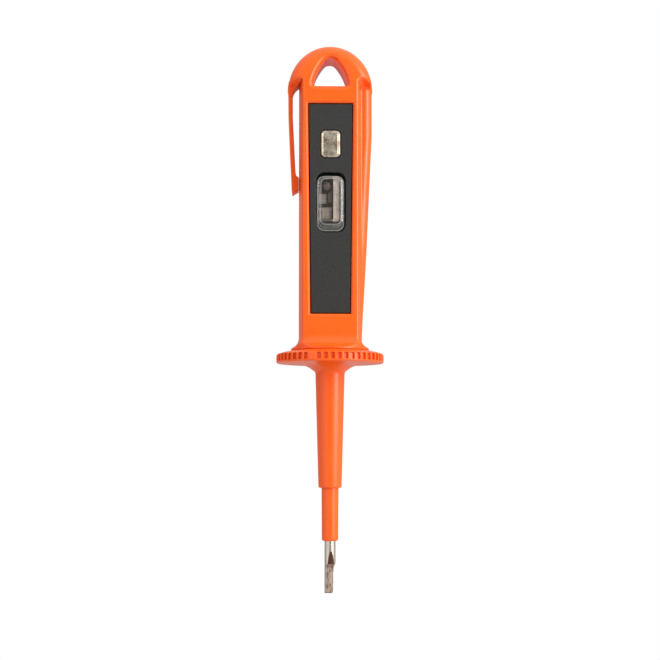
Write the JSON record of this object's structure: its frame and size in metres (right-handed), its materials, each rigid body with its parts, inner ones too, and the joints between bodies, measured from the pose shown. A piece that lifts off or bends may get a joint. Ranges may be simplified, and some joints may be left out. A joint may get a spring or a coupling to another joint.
{
  "type": "voltage tester",
  "caption": "Pocket voltage tester in the shape of a screwdriver, with a window, a touch pad, a pocket clip and a screw-in nose with a knurled guard.",
  "frame": {"origin": "on the tool's axis, at the blade's flat end face", "axes": "+Z along the tool from the blade's end to the crown of the handle, -Y towards the window and touch pad, -X towards the pocket clip"},
  "size_m": [0.0306, 0.0306, 0.1555],
  "materials": {
    "orange_plastic": "satin",
    "dark_cover": "matte",
    "clear_lens": "clear",
    "touch_metal": "satin",
    "blade_metal": "ground",
    "spring_steel": "bright",
    "contact_brass": "satin",
    "cell_steel": "satin",
    "board_laminate": "satin",
    "chip_black": "matte",
    "ceramic": "matte",
    "tray_plastic": "satin",
    "led_red": "clear",
    "led_green": "clear"
  },
  "bodies": {
    "handle": {"handle_housing": "orange_plastic", "front_cover": "dark_cover", "window_lens": "clear_lens", "circuit_board": "board_laminate", "reflector_tray": "tray_plastic", "led_red": "led_red", "led_green": "led_green", "smd_capacitor": "ceramic", "resonator": "ceramic", "amplifier_chip": "chip_black", "smd_resistor_upper": "chip_black", "smd_resistor_lower": "chip_black", "touch_spring": "spring_steel", "battery_contact": "contact_brass", "battery_cell_lower": "cell_steel", "battery_cell_upper": "cell_steel"},
    "clip": {"pocket_clip": "orange_plastic"},
    "touch_button": {"touch_pad": "touch_metal"},
    "spring_seat": {"contact_spring": "spring_steel"},
    "nose": {"nose_collar": "orange_plastic", "blade_insulation": "orange_plastic", "screwdriver_blade": "blade_metal", "blade_spring": "spring_steel", "resistor_cap_front": "spring_steel", "series_resistor": "ceramic", "resistor_cap_rear": "spring_steel", "nose_contact": "contact_brass"}
  },
  "joints": [
    {"name": "clip_flex", "type": "hinge", "parent": "handle", "child": "clip", "pos_m": [-0.01135, 0, 0.14115], "axis": [0, 1, 0], "range_deg": [0, 6], "stiffness_Nm_per_rad": 0.3},
    {"name": "touch_press", "type": "slide", "parent": "handle", "child": "touch_button", "axis": [0, 1, 0], "range_m": [0, 0.0005], "stiffness_N_per_m": 600, "deforming": ["touch_spring"]},
    {"name": "collar_travel", "type": "slide", "parent": "handle", "child": "spring_seat", "axis": [0, 0, -1], "range_m": [0, 0.00562], "deforming": ["contact_spring"]},
    {"name": "collar_turn", "type": "hinge", "parent": "spring_seat", "child": "nose", "pos_m": [0, 0, 0.072], "axis": [0, 0, -1], "range_deg": [0, 675]}
  ],
  "couplings": [
    {"joint": "collar_travel", "follows": "collar_turn", "m_per_rad": 0.00047746}
  ]
}
